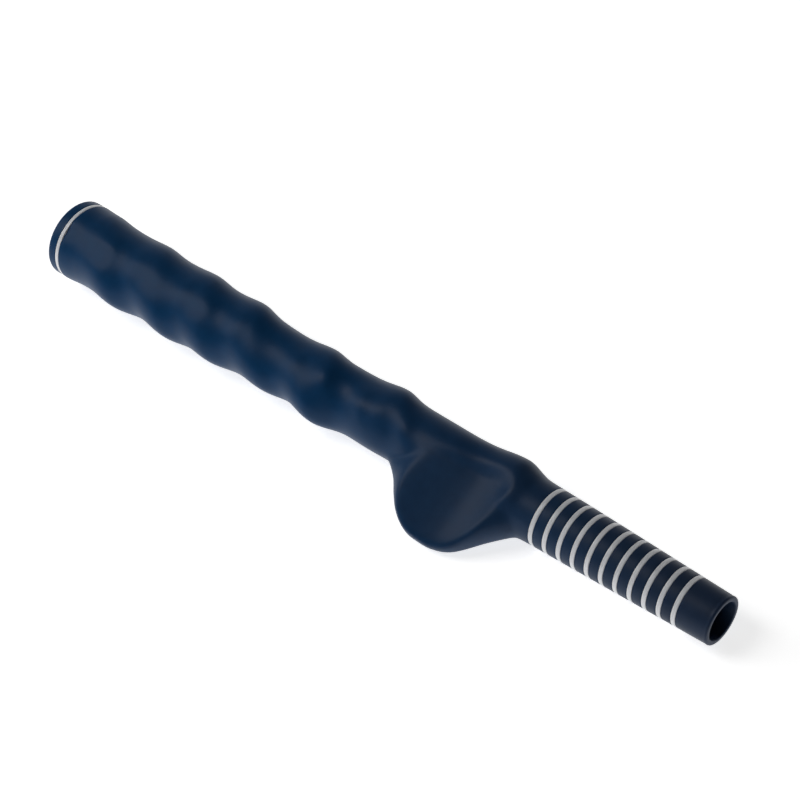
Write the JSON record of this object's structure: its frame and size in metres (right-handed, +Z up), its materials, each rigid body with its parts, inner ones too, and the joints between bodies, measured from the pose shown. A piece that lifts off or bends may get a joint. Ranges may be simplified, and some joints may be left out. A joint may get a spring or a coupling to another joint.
{
  "type": "golf training grip",
  "caption": "Moulded rubber golf training grip: hollow tapered sleeve with finger hollows, a trigger fin, white bands and a vented butt cap.",
  "frame": {"origin": "middle of the floor under the grip's bounding box, with the grip lying on its side as it does on a bench", "axes": "+Z is up; the shaft axis runs along +X from the butt to the open mouth and dips by about 1 degree, because the sleeve tapers; -Y is the front, the side the fin points to"},
  "size_m": [0.2672, 0.0396, 0.0269],
  "materials": {
    "navy_rubber": "satin navy blue moulded rubber",
    "cap_rubber": "satin navy blue rubber, slightly darker than the sleeve",
    "white_band": "matte white rubber band"
  },
  "bodies": {
    "root": {"grip_body": "navy_rubber", "end_cap": "cap_rubber", "butt_ring": "white_band", "ring_01": "white_band", "ring_02": "white_band", "ring_03": "white_band", "ring_04": "white_band", "ring_05": "white_band", "ring_06": "white_band", "ring_07": "white_band", "ring_08": "white_band", "ring_09": "white_band", "ring_10": "white_band", "ring_11": "white_band"}
  },
  "joints": []
}
